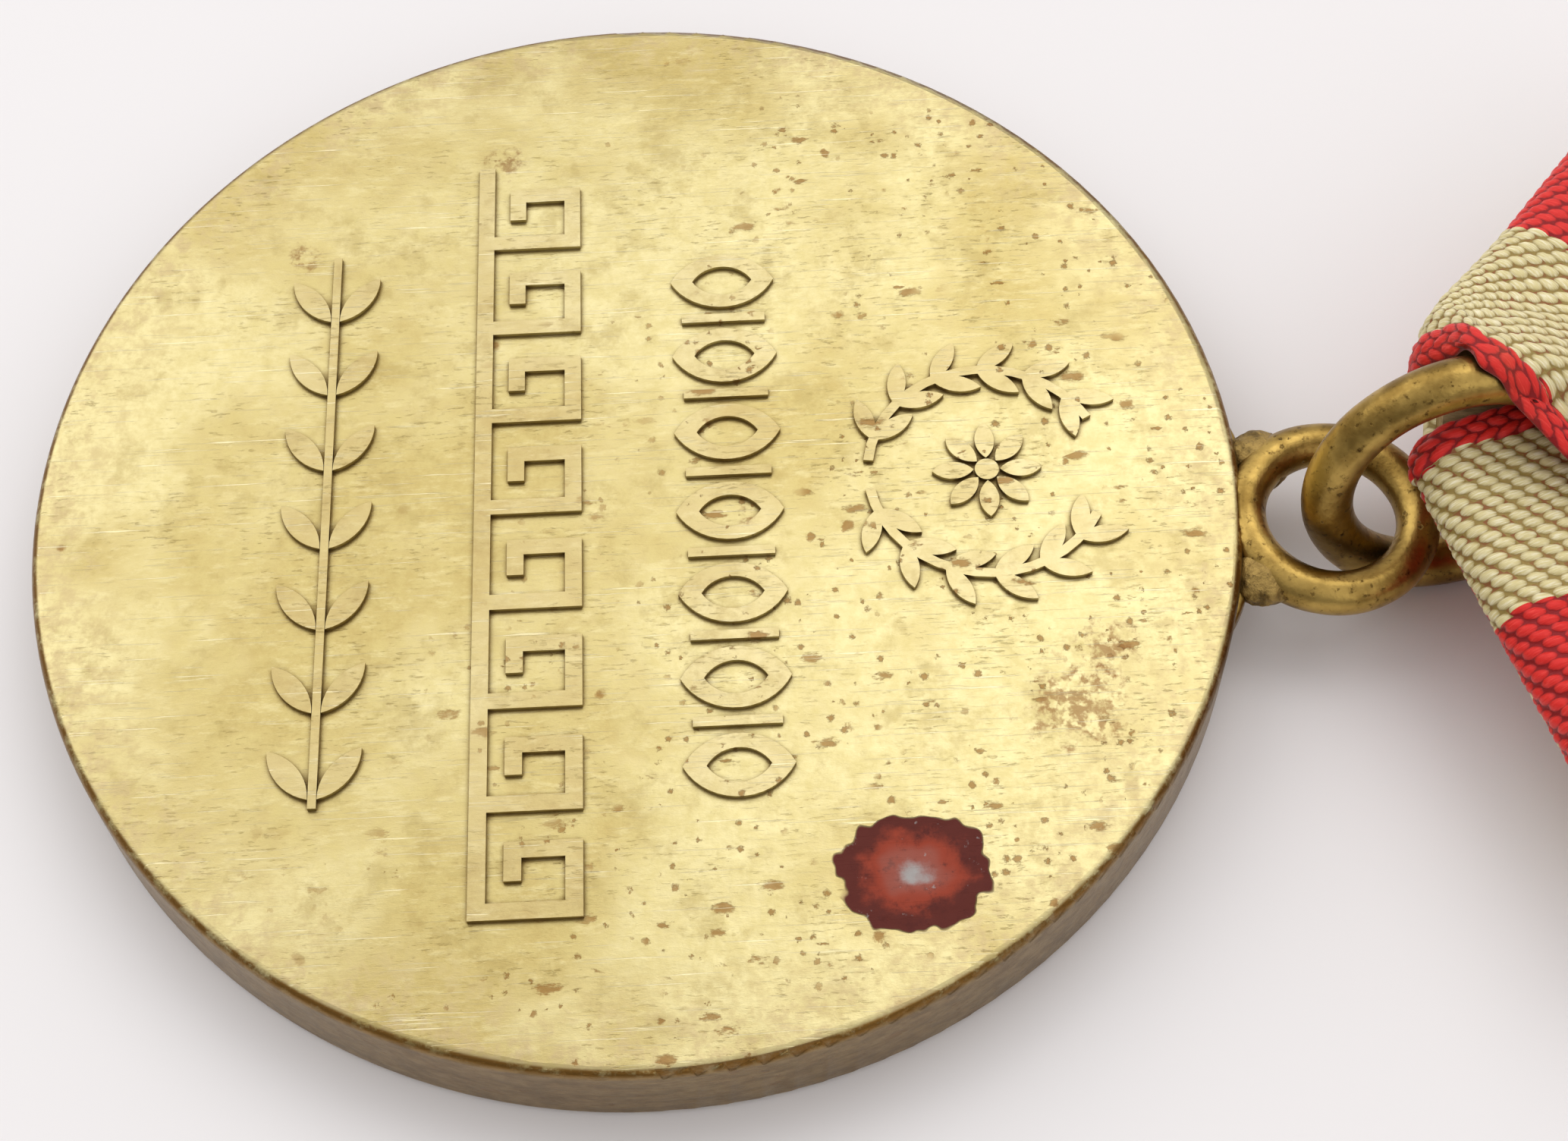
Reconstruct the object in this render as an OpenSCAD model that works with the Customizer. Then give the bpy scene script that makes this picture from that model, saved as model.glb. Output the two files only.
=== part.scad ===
// Campaign medal: struck brass disc, wire eye, split ring and a ribbon-dressed
// five-sided mount with a side-swinging pin. Units are millimetres.
// The disc lies face down on z = 0. +X runs from the disc's centre to the eye.

/* [Disc] */
// Diameter of the struck disc
disc_d = 32; // [28:0.5:36]
// Thickness of the disc at its rim
disc_t = 2.9; // [2.4:0.1:3.4]
// Radius of the worn edge on both faces
disc_edge_r = 0.3; // [0.15:0.05:0.45]
// Width of the raised rim on the front face
rim_w = 1.1; // [0.8:0.1:1.6]
// Depth of the front face's field below its rim
field_depth = 0.35; // [0.2:0.05:0.5]
// Height of the raised ornament on the back face
relief_h = 0.14; // [0.1:0.02:0.3]
// Height of each row of ornament, measured across the row
row_h = 2.84; // [2.4:0.02:3.2]
// Distance from one row of ornament to the next
row_pitch = 5.33; // [4.8:0.01:5.8]

/* [Eye] */
// Distance from the disc's centre to the middle of the eye
eye_x = 18.3; // [18:0.05:18.6]
// Sideways place of the eye
eye_y = -1.38; // [-1.6:0.02:0]
// Height of the eye above the table
eye_z = 2.35; // [2.2:0.05:2.4]
// Radius of the eye's centre line
eye_r = 2.28; // [2.2:0.01:2.4]
// Diameter of the eye's wire
eye_wire_d = 1.16; // [1:0.02:1.2]

/* [Ring] */
// Radius of the ring's centre line
ring_r = 3.4; // [3.3:0.05:3.5]
// Diameter of the ring's wire
ring_wire_d = 1.32; // [1.2:0.02:1.36]
// Turn of the ring about the vertical
ring_yaw = 7; // [5:0.5:9]
// Tilt of the ring above the table
ring_tilt = 78; // [76:0.5:80]
// Width of the saw cut where the ring was closed
ring_gap = 0.16; // [0.1:0.02:0.3]

/* [Mount] */
// Width of the ribbon and the mount
mount_w = 24; // [23:0.5:25]
// Length from the pointed end's roll axis to the far end
mount_l = 45.2; // [42:0.2:46]
// Half of the blunt tip
tip_half = 2.2; // [2:0.1:2.4]
// Angle between the mount's middle line and its sloping edges
slope_angle = 60.8; // [58:0.2:62]
// Turn of the mount about the vertical
mount_yaw = -11; // [-12:0.5:-10]
// Fall of the mount towards its far end
mount_pitch = 5; // [4:0.1:5]
// Thickness of one layer of ribbon
ribbon_t = 0.45; // [0.3:0.05:0.5]
// Thickness of the base plate
plate_t = 0.7; // [0.5:0.05:0.8]
// Thickness of the stiffening card
card_t = 0.25; // [0.2:0.05:0.3]

/* [Pin] */
// Diameter of the pin's wire
needle_d = 0.84; // [0.7:0.02:0.9]
// Distance from the stud's axis to the pin's point
needle_l = 18.8; // [17:0.2:19]
// Diameter of the stud that the pin turns on
stud_d = 1.1; // [1:0.05:1.2]
// Place of the stud and the catch along the mount
pin_x = 38; // [37:0.5:39]
// Distance of the stud from the mount's middle line
stud_y = 8.2; // [7.8:0.1:8.6]

/* [Hidden] */

$fn = 64;
eps = 0.01;

brass = "#D9C47A";
old_brass = "#8F7434";
solder_grey = "#8A8470";
olive = "#C9BC86";
steel = "#9A9A96";
card_brown = "#A98E63";
thread_red = "#C23A34";

disc_r = disc_d / 2;
eye_wire_r = eye_wire_d / 2;
ring_wire_r = ring_wire_d / 2;

// the ring stands on its lowest point with a hair of clearance
ring_clear = 0.03;
ring_pos = [21.3, -1.2, ring_r * sin(ring_tilt) + ring_wire_r + ring_clear];
ring_cut_angle = -38;

// rows of ornament on the back face, numbered from the eye
row_x = [2.47, 2.47 - row_pitch, 2.47 - 2 * row_pitch];
key_units = 8;
key_pitch = 2.86;
key_stroke = 0.44;
key_middle = -0.5;
bead_units = 7;
bead_pitch = 2.46;
bead_middle = -0.7;
leaf_units = 7;
leaf_pitch = 2.4;
leaf_middle = -0.35;
wreath_pos = [9.3, 0.2];
wreath_r = 3.15;

// the mount's frame: x runs along its middle line, z points out of its back
mount_pos = [21.39, 0.05, 4.9];
plate_z0 = -0.5;
plate_z1 = plate_z0 + plate_t;
card_z1 = plate_z1 + card_t;
front_z0 = plate_z0 - ribbon_t;
low_z1 = card_z1 + ribbon_t;
high_z1 = low_z1 + ribbon_t;
tip_x = front_z0;
side_inset = 0.2;
wrap_end = 30;
tail_start = 31;

// the slot follows the ring's plane where it cuts the mount
slot_lead = 0.2;
slot_angle = ring_yaw - mount_yaw + slot_lead;
slot_y = -1.1;
slot_r = 1.15;
slot_from = 2.45;
slot_to = 3.3;

back_plate_t = 0.4;
back_plate_z1 = low_z1 + back_plate_t;
back_plate_w = 21.6;
back_plate_h = 11;
rivet_r = 0.6;
rivet_x = 3.7;
rivet_y = 9.3;
needle_z = back_plate_z1 + 1.1;
needle_r = needle_d / 2;
needle_eye_h = 0.8;
pin_play = 0.05;
catch_y = 8.6;
catch_w = 2.2;

// ---- flat shapes ----

// pointed leaf of length l and width w along +x from the origin
module leaf(l, w) {
    r = (l * l / 4 + w * w / 4) / w;
    translate([l / 2, 0]) intersection() {
        translate([0, r - w / 2]) circle(r);
        translate([0, w / 2 - r]) circle(r);
    }
}

// band along an arc about the origin
module arc_band(r, w, from, to, steps = 16) {
    angles = [for (i = [0:steps]) from + (to - from) * i / steps];
    polygon(concat(
        [for (a = angles) (r + w / 2) * [cos(a), sin(a)]],
        [for (i = [steps:-1:0]) (r - w / 2) * [cos(angles[i]), sin(angles[i])]]));
}

// outline of the mount, drawn in by d at the tip, slopes and far end and by side at the sides
function mount_outline(d, side) =
    let (half = mount_w / 2 - side,
         tip = tip_half - d * tan((90 - slope_angle) / 2),
         shoulder = tip_x + d + (half - tip) / tan(slope_angle))
    [[tip_x + d, -tip], [shoulder, -half], [mount_l - d, -half],
     [mount_l - d, half], [shoulder, half], [tip_x + d, tip]];

// half of the outline covered by one wrap, whose edge starts square to the slope
function wrap_outline() =
    let (half = mount_w / 2,
         run = (half + tip_half) / cos(slope_angle))
    [[tip_x, -tip_half], [tip_x + run * sin(slope_angle), half], [wrap_end, half],
     [wrap_end, -half], [tip_x + (half - tip_half) / tan(slope_angle), -half]];

module on_mount() {
    translate(mount_pos) rotate([0, 0, mount_yaw]) rotate([0, mount_pitch, 0]) children();
}

module slab(z0, z1) {
    translate([0, 0, z0]) linear_extrude(z1 - z0) children();
}

module ring_slot() {
    translate([0, slot_y, -2]) rotate(slot_angle) {
        translate([slot_from, 0, 0]) cylinder(r = slot_r, h = 5);
        translate([slot_to, 0, 0]) cylinder(r = slot_r, h = 5);
        translate([slot_from, -slot_r, 0]) cube([slot_to - slot_from, 2 * slot_r, 5]);
    }
}

module rivet_places() {
    for (x = [-rivet_x, rivet_x], y = [-rivet_y, rivet_y])
        translate([pin_x + x, y, 0]) children();
}

module rivet_holes() {
    rivet_places() translate([0, 0, -2]) cylinder(r = rivet_r, h = 6);
}

// ---- ornament ----

// row of hollow pointed beads with thin reels between them
module bead_row() {
    w = 1.75;
    wall = 0.8;
    for (i = [0:bead_units - 1]) {
        y = bead_middle + (i - (bead_units - 1) / 2) * bead_pitch;
        translate([0, y]) difference() {
            translate([-row_h / 2, 0]) leaf(row_h, w);
            translate([-(row_h - 1.5 * wall) / 2, 0]) leaf(row_h - 1.5 * wall, w - wall);
        }
        if (i < bead_units - 1)
            translate([0, y + bead_pitch / 2]) square([row_h * 0.8, 0.26], center = true);
    }
}

// running key of square hooks on a base line
module key_row() {
    hook = 2.05;
    inner = 1.0;
    start = key_middle - key_units * key_pitch / 2;
    x0 = -row_h / 2;
    hook_x = x0 + 2 * key_stroke;
    translate([x0, start]) square([key_stroke, key_units * key_pitch]);
    for (i = [0:key_units - 1]) {
        y = start + i * key_pitch;
        translate([x0, y]) square([row_h, key_stroke]);
        translate([-x0 - key_stroke, y]) square([key_stroke, hook]);
        translate([hook_x, y + hook - key_stroke]) square([row_h - 2 * key_stroke, key_stroke]);
        translate([hook_x, y + inner]) square([key_stroke, hook - inner]);
    }
}

// straight sprig with pairs of leaves
module leaf_row() {
    l = 1.75;
    w = 0.62;
    lean = 38;
    stem = 0.22;
    first = 0.25;
    start = leaf_middle - leaf_units * leaf_pitch / 2;
    translate([-stem / 2, start]) square([stem, leaf_units * leaf_pitch]);
    for (i = [0:leaf_units - 1], side = [-1, 1])
        translate([side * 0.12, start + i * leaf_pitch + first])
            rotate(90 - side * lean) leaf(l, w);
}

// two bowed sprigs that meet at the stem, open towards the eye
module wreath() {
    pairs = 6;
    petals = 8;
    for (side = [-1, 1]) {
        mirror([0, side < 0 ? 1 : 0]) {
            arc_band(wreath_r, 0.26, 28, 172);
            for (i = [0:pairs - 1], turn = [-1, 1]) {
                a = 160 - i * 23;
                translate(wreath_r * [cos(a), sin(a)])
                    rotate(a - 90 + turn * 36) leaf(1.35, 0.5);
            }
        }
    }
    for (i = [0:petals - 1]) rotate(i * 360 / petals) translate([0.35, 0]) leaf(1.1, 0.52);
    circle(0.32);
}

module back_ornament() {
    translate([row_x[0], 0]) bead_row();
    translate([row_x[1], 0]) key_row();
    translate([row_x[2], 0]) leaf_row();
    translate(wreath_pos) wreath();
}

// rays round a boss inside a ring of leaves
module front_ornament() {
    rays = 16;
    leaves = 30;
    ray_in = 3.6;
    ray_out = 9.2;
    ray_half = 0.42;
    stem_r = 11.72;
    stem = 0.25;
    for (i = [0:rays - 1]) rotate(i * 360 / rays)
        polygon([[ray_in, -ray_half], [ray_out - (i % 2) * 2, 0], [ray_in, ray_half]]);
    difference() {
        circle(stem_r + stem / 2);
        circle(stem_r - stem / 2);
    }
    for (i = [0:leaves - 1], turn = [-1, 1])
        rotate(i * 360 / leaves) translate([stem_r, 0]) rotate(90 + turn * 34) leaf(2.1, 0.8);
}

// ---- medal ----

module medal_disc() {
    r = disc_edge_r;
    root = 0.05;
    boss_r = 3;
    color(brass) union() {
        difference() {
            union() {
                translate([0, 0, r]) cylinder(r = disc_r, h = disc_t - 2 * r, $fn = 128);
                cylinder(r = disc_r - r, h = disc_t, $fn = 128);
                for (z = [r, disc_t - r]) translate([0, 0, z])
                    rotate_extrude($fn = 128) translate([disc_r - r, 0]) circle(r);
            }
            translate([0, 0, -eps]) cylinder(r = disc_r - rim_w, h = field_depth + eps, $fn = 128);
        }
        slab(disc_t - root, disc_t + relief_h) back_ornament();
        slab(0.08, field_depth + root) front_ornament();
        cylinder(r = boss_r, h = field_depth + root);
    }
}

module eye_torus() {
    translate([eye_x, eye_y, eye_z])
        rotate_extrude() translate([eye_r, 0]) circle(eye_wire_r, $fn = 32);
}

module suspension_eye() {
    color(old_brass) difference() {
        eye_torus();
        translate([0, 0, -1]) cylinder(r = disc_r, h = 6, $fn = 128);
    }
}

// curved pad between the rim and the eye's wire
module saddle_block() {
    half = 9;
    turn = atan2(eye_y, eye_x);
    inner_z = 1.55;
    top_z = 2.75;
    pad_t = 0.62;
    intersection() {
        difference() {
            translate([0, 0, inner_z]) cylinder(r = disc_r + pad_t, h = top_z - inner_z, $fn = 128);
            translate([0, 0, -1]) cylinder(r = disc_r, h = 6, $fn = 128);
        }
        linear_extrude(5) polygon([[0, 0], 20 * [cos(turn - half), sin(turn - half)],
            20 * [cos(turn + half), sin(turn + half)]]);
    }
}

module eye_saddle() {
    color(old_brass) difference() {
        saddle_block();
        eye_torus();
    }
}

// two beads of solder that wet the roots of the eye and the saddle's ends
module eye_solder() {
    turn = atan2(eye_y, eye_x);
    spread = 9.6;
    bead_r = 0.75;
    bead_h = 1.25;
    for (side = [-1, 1])
        color(solder_grey) difference() {
            rotate(turn + side * spread) translate([disc_r + 0.05, 0, 1.4]) cylinder(r = bead_r, h = bead_h);
            translate([0, 0, -1]) cylinder(r = disc_r, h = 6, $fn = 128);
        }
}

// ---- ring ----

module connecting_ring() {
    color(old_brass) translate(ring_pos) rotate([0, 0, ring_yaw]) rotate([ring_tilt, 0, 0])
    difference() {
        rotate_extrude() translate([ring_r, 0]) circle(ring_wire_r, $fn = 32);
        rotate(ring_cut_angle) translate([ring_r - 1, -ring_gap / 2, -1]) cube([2, ring_gap, 2]);
    }
}

// ---- mount ----

module base_plate() {
    color(brass) on_mount() difference() {
        slab(plate_z0, plate_z1) polygon(mount_outline(ribbon_t, side_inset));
        ring_slot();
        rivet_holes();
    }
}

module stiffening_card() {
    color(card_brown) on_mount() difference() {
        slab(plate_z1, card_z1) polygon(mount_outline(ribbon_t, side_inset));
        ring_slot();
        rivet_holes();
    }
}

// front layer, turned up along the tip and slopes and folded over the far end
module front_ribbon() {
    outer = mount_outline(0, 0);
    shoulder = outer[1][0];
    tail_l = mount_l - tail_start;
    color(olive) on_mount() difference() {
        union() {
            slab(front_z0, plate_z0) polygon(outer);
            slab(plate_z0, card_z1) difference() {
                intersection() {
                    polygon(outer);
                    translate([tip_x, -mount_w / 2]) square([shoulder - tip_x, mount_w]);
                }
                polygon(mount_outline(ribbon_t, -1));
            }
            translate([mount_l - ribbon_t, -mount_w / 2, plate_z0]) cube([ribbon_t, mount_w, low_z1 - plate_z0]);
            difference() {
                translate([tail_start, -mount_w / 2, card_z1]) cube([tail_l, mount_w, ribbon_t]);
                rivet_holes();
                translate([pin_x, -stud_y, 0]) cylinder(r = stud_d / 2, h = 3);
            }
        }
        ring_slot();
    }
}

module right_wrap() {
    color(olive) on_mount() difference() {
        slab(card_z1, low_z1) polygon(wrap_outline());
        ring_slot();
    }
}

module left_wrap() {
    color(olive) on_mount() difference() {
        union() {
            slab(low_z1, high_z1) mirror([0, 1]) polygon(wrap_outline());
            slab(card_z1, low_z1) difference() {
                mirror([0, 1]) polygon(wrap_outline());
                polygon(wrap_outline());
            }
        }
        ring_slot();
    }
}

// row of thread stitches that holds the wraps' cut ends together
module stitching() {
    count = 10;
    thread = [0.32, 1.3, 0.24];
    inset = 0.8;
    color(thread_red) on_mount()
        for (i = [0:count - 1])
            translate([wrap_end - inset, -mount_w / 2 + mount_w * (i + 0.5) / count, high_z1 + thread[2] / 2])
                cube(thread, center = true);
}

module back_plate() {
    r = 2;
    x = back_plate_h / 2 - r;
    y = back_plate_w / 2 - r;
    color(steel) on_mount() difference() {
        translate([pin_x, 0, low_z1]) {
            for (i = [-x, x], j = [-y, y]) translate([i, j, 0]) cylinder(r = r, h = back_plate_t);
            translate([-x - r, -y, 0]) cube([2 * (x + r), 2 * y, back_plate_t]);
            translate([-x, -y - r, 0]) cube([2 * x, 2 * (y + r), back_plate_t]);
        }
        rivet_holes();
        translate([pin_x, -stud_y, 0]) cylinder(r = stud_d / 2, h = 3);
    }
}

module plate_rivets() {
    head_r = 1.1;
    head_h = 0.45;
    ball_r = (head_r * head_r + head_h * head_h) / (2 * head_h);
    color(old_brass) on_mount() rivet_places() {
        translate([0, 0, plate_z0]) cylinder(r = rivet_r, h = back_plate_z1 - plate_z0);
        intersection() {
            translate([0, 0, back_plate_z1 + head_h - ball_r]) sphere(ball_r);
            translate([0, 0, back_plate_z1]) cylinder(r = 2, h = 1);
        }
    }
}

// shouldered stud with a flat head
module pin_stud() {
    gap = 0.12;
    eye_z0 = needle_z - needle_eye_h / 2;
    eye_z1 = needle_z + needle_eye_h / 2;
    color(steel) on_mount() translate([pin_x, -stud_y, 0]) {
        translate([0, 0, card_z1]) cylinder(r = stud_d / 2, h = eye_z1 + gap - card_z1);
        translate([0, 0, back_plate_z1]) cylinder(r = 1.4, h = eye_z0 - gap - back_plate_z1);
        translate([0, 0, eye_z1 + gap]) cylinder(r = 1.15, h = 0.35);
    }
}

module pin_needle() {
    point_l = 2.6;
    eye_outer = 1.42;
    bore_r = stud_d / 2 + pin_play;
    color(steel) on_mount() translate([pin_x, -stud_y, needle_z]) difference() {
        union() {
            cylinder(r = eye_outer, h = needle_eye_h, center = true);
            rotate([-90, 0, 0]) translate([0, 0, 1])
                cylinder(r = needle_r, h = needle_l - point_l - 1, $fn = 32);
            rotate([-90, 0, 0]) translate([0, 0, needle_l - point_l])
                cylinder(r1 = needle_r, r2 = 0.06, h = point_l, $fn = 32);
        }
        cylinder(r = bore_r, h = 3, center = true);
    }
}

// open hook that the pin's point end springs into sideways
module pin_catch() {
    inner = 0.6;
    outer = 0.98;
    color(steel) on_mount() translate([pin_x, catch_y, needle_z]) {
        difference() {
            rotate([90, 0, 0]) cylinder(r = outer, h = catch_w, center = true);
            rotate([90, 0, 0]) cylinder(r = inner, h = catch_w + 1, center = true);
            translate([-2.35, -2, -inner]) cube([2, 4, 2 * inner]);
        }
        difference() {
            translate([-1.2, -catch_w / 2, back_plate_z1 - needle_z])
                cube([2.8, catch_w, 0.35]);
            rotate([90, 0, 0]) cylinder(r = outer - 0.05, h = catch_w + 1, center = true);
        }
    }
}

medal_disc();
suspension_eye();
eye_saddle();
eye_solder();
connecting_ring();
base_plate();
stiffening_card();
front_ribbon();
right_wrap();
left_wrap();
stitching();
back_plate();
plate_rivets();
pin_stud();
pin_needle();
pin_catch();
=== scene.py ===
import math

import bmesh
import bpy
import numpy as np
from mathutils import Matrix, Vector, noise as field


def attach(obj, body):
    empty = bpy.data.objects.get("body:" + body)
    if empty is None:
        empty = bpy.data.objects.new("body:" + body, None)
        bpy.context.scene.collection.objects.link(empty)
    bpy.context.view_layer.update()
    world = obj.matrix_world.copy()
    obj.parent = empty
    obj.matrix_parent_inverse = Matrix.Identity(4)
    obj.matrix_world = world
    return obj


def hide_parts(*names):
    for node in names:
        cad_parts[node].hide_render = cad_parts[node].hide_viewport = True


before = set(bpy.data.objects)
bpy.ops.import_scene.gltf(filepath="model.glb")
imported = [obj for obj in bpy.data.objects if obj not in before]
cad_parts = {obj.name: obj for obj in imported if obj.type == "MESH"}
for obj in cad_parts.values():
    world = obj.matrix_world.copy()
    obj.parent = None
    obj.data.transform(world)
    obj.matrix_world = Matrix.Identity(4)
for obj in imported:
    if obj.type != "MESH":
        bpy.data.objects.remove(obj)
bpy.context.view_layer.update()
mm = 0.001
tau = 2 * math.pi


def hexLinear(code):  # sRGB hex to the linear colour that a shader socket takes
    parts = [int(code[i:i + 2], 16) / 255 for i in (1, 3, 5)]
    return tuple(c / 12.92 if c <= 0.04045 else ((c + 0.055) / 1.055) ** 2.4 for c in parts) + (1.0,)


def addNode(tree, kind, inputs=None, output=None, **settings):  # gives its named or first live output
    node = tree.nodes.new("ShaderNode" + kind)
    for name, value in settings.items():
        setattr(node, name, value)
    for key, value in (inputs or {}).items():
        if isinstance(value, bpy.types.NodeSocket):
            tree.links.new(value, node.inputs[key])
        else:
            node.inputs[key].default_value = hexLinear(value) if isinstance(value, str) else value
    return node.outputs[output] if output else next(o for o in node.outputs if o.enabled)


soft = {"interpolation_type": "SMOOTHSTEP"}


def grains(tree, where, size, detail=3.0, rough=0.6, shift=(0, 0, 0), turn=0.0):  # clouds of size mm
    sizes = size if isinstance(size, tuple) else (size, size, size)
    place = {"Vector": where, "Location": tuple(a / b for a, b in zip(shift, sizes)), "Rotation": (0, 0, turn),
             "Scale": tuple(1 / (b * mm) for b in sizes)}
    moved = addNode(tree, "Mapping", place)
    return addNode(tree, "TexNoise", {"Vector": moved, "Scale": 1.0, "Detail": detail, "Roughness": rough})


def coat(tree, below, above, mask, amount, between=None):  # a colour laid over another
    if between:
        mask = addNode(tree, "MapRange", {0: mask, 1: between[0], 2: between[1]}, **soft)
    mask = addNode(tree, "Math", {0: mask, 1: amount}, operation="MULTIPLY")
    return addNode(tree, "Mix", {0: mask, 6: below, 7: above}, data_type="RGBA")


def newMaterial(name):
    material = bpy.data.materials.new(name)
    material.use_nodes = True
    tree = material.node_tree
    shader = next(n for n in tree.nodes if n.type == "BSDF_PRINCIPLED")
    return material, tree, shader


def addRelief(tree, shader, height, strength, depth=1.0):  # fine relief; depth in mm for a height of 1
    bump = addNode(tree, "Bump", {"Height": height, "Distance": depth * mm, "Strength": strength})
    tree.links.new(bump, shader.inputs["Normal"])


def meshObject(name, bm, material, body, replaced):
    mesh = bpy.data.meshes.new(name)
    bm.to_mesh(mesh)
    bm.free()
    for polygon in mesh.polygons:
        polygon.use_smooth = True
    mesh.materials.append(material)
    piece = bpy.data.objects.new(name, mesh)
    bpy.context.scene.collection.objects.link(piece)
    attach(piece, body)
    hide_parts(*replaced)
    return piece


view = {"target": (3.810, -2.522, 2.9), "distance": 69.566, "elevation": 60.60, "azimuth": -0.214,
        "roll": 2.477, "lens": 61.41}


def makeCamera():
    a, e, r = (math.radians(view[k]) for k in ("azimuth", "elevation", "roll"))
    back = Vector((math.sin(a) * math.cos(e), -math.cos(a) * math.cos(e), math.sin(e)))
    place = (Vector(view["target"]) + back * view["distance"]) * mm
    across = (-back).cross(Vector((0, 0, 1))).normalized()
    down = (-back).cross(across)
    right = math.cos(r) * across + math.sin(r) * down
    drop = -math.sin(r) * across + math.cos(r) * down
    data = bpy.data.cameras.new("camera")
    data.lens = view["lens"]
    data.sensor_width = 36
    data.clip_start = 0.005
    data.clip_end = 5
    camera = bpy.data.objects.new("camera", data)
    bpy.context.scene.collection.objects.link(camera)
    rows = Matrix((right, -drop, back)).transposed().to_4x4()
    camera.matrix_world = Matrix.Translation(place) @ rows
    bpy.context.scene.camera = camera


stageLook = {"floorSize": 1.2, "floorColour": "#F1EFEF", "floorPale": "#F5F3F3",
             "worldLow": 0.26, "worldHigh": 0.86}


def makeStage():
    bm = bmesh.new()
    bmesh.ops.create_grid(bm, x_segments=1, y_segments=1, size=stageLook["floorSize"])
    mesh = bpy.data.meshes.new("floor")
    bm.to_mesh(mesh)
    bm.free()
    # white card: matt, nearly white, with the faintest mottling
    material, tree, shader = newMaterial("Matt white card")
    where = addNode(tree, "TexCoord", output="Object")
    mottle = addNode(tree, "TexNoise", {"Vector": where, "Scale": 9.0, "Detail": 2.0, "Roughness": 0.5})
    tones = {0: mottle, 6: stageLook["floorColour"], 7: stageLook["floorPale"]}
    tree.links.new(addNode(tree, "Mix", tones, data_type="RGBA"), shader.inputs["Base Color"])
    shader.inputs["Roughness"].default_value = 0.8
    shader.inputs["Specular IOR Level"].default_value = 0.2
    mesh.materials.append(material)
    floor = bpy.data.objects.new("floor", mesh)
    bpy.context.scene.collection.objects.link(floor)
    world = bpy.data.worlds.new("studio")
    bpy.context.scene.world = world
    world.use_nodes = True
    tree = world.node_tree
    background = next(n for n in tree.nodes if n.type == "BACKGROUND")
    # a dim room in front and below, a bright diffuser above and behind
    toSky = addNode(tree, "TexCoord", output="Generated")
    _, ahead, above = addNode(tree, "SeparateXYZ", {0: toSky}).node.outputs
    height = addNode(tree, "Math", {0: ahead, 1: 0.45, 2: above}, operation="MULTIPLY_ADD")
    levels = {0: height, 1: -0.35, 2: 1.0, 3: stageLook["worldLow"], 4: stageLook["worldHigh"]}
    level = addNode(tree, "MapRange", levels, **soft)
    tree.links.new(level, background.inputs["Strength"])
    background.inputs["Color"].default_value = hexLinear("#FFFCFC")


lamps = [  # place and aim in m, diameter in m, power in W
    {"name": "softboxTop", "at": (0.11, 0.20, 0.37), "aim": (0.015, 0.0, 0.0), "size": 0.30, "power": 0.32},
    {"name": "softboxLeft", "at": (-0.26, 0.24, 0.32), "aim": (0.0, 0.0, 0.0), "size": 0.44, "power": 0.5},
    {"name": "fillFront", "at": (0.22, -0.34, 0.28), "aim": (0.01, 0.0, 0.0), "size": 0.36, "power": 0.2},
]


def makeLamps():
    for lamp in lamps:
        data = bpy.data.lights.new(lamp["name"], "AREA")
        data.shape = "DISK"
        data.size = lamp["size"]
        data.energy = lamp["power"]
        piece = bpy.data.objects.new(lamp["name"], data)
        bpy.context.scene.collection.objects.link(piece)
        place = Vector(lamp["at"])
        aim = (Vector(lamp["aim"]) - place).to_track_quat("-Z", "Y")
        piece.matrix_world = Matrix.Translation(place) @ aim.to_matrix().to_4x4()


makeCamera()
makeStage()
makeLamps()
bpy.context.scene.view_settings.view_transform = "Standard"  # colours come out as they were matched
print("camera, floor and lamps")


def scratchMask(tree, where, turn, pitch, length, threshold):  # straight hairlines one way, in mm
    streaks = grains(tree, where, (length, pitch, pitch), 2.0, 0.6, turn=turn)
    return addNode(tree, "MapRange", {0: streaks, 1: threshold, 2: threshold + 0.07}, **soft)


def speckMask(tree, where, cell, keep, size, blur=0.5):  # ragged specks in a share of the cells, cell in mm
    nearest = addNode(tree, "TexVoronoi", {"Vector": where, "Scale": 1 / (cell * mm)})
    share = addNode(tree, "SeparateColor", {0: nearest.node.outputs["Color"]}).node.outputs
    chosen = addNode(tree, "Math", {0: share[0], 1: keep}, operation="LESS_THAN")
    ragged = grains(tree, where, cell / 4.5, 4.0, 0.7)
    ragged = addNode(tree, "Math", {0: ragged, 1: 0.5}, operation="SUBTRACT")
    away = addNode(tree, "Math", {0: ragged, 1: size * 3.0, 2: nearest}, operation="MULTIPLY_ADD")
    reach = addNode(tree, "Math", {0: share[1], 1: size * 1.1, 2: size * 0.35}, operation="MULTIPLY_ADD")
    away = addNode(tree, "Math", {0: away, 1: reach}, operation="DIVIDE")
    inside = addNode(tree, "MapRange", {0: away, 1: 1.0, 2: 1.0 - blur}, **soft)
    return addNode(tree, "Math", {0: inside, 1: chosen}, operation="MULTIPLY")


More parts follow.
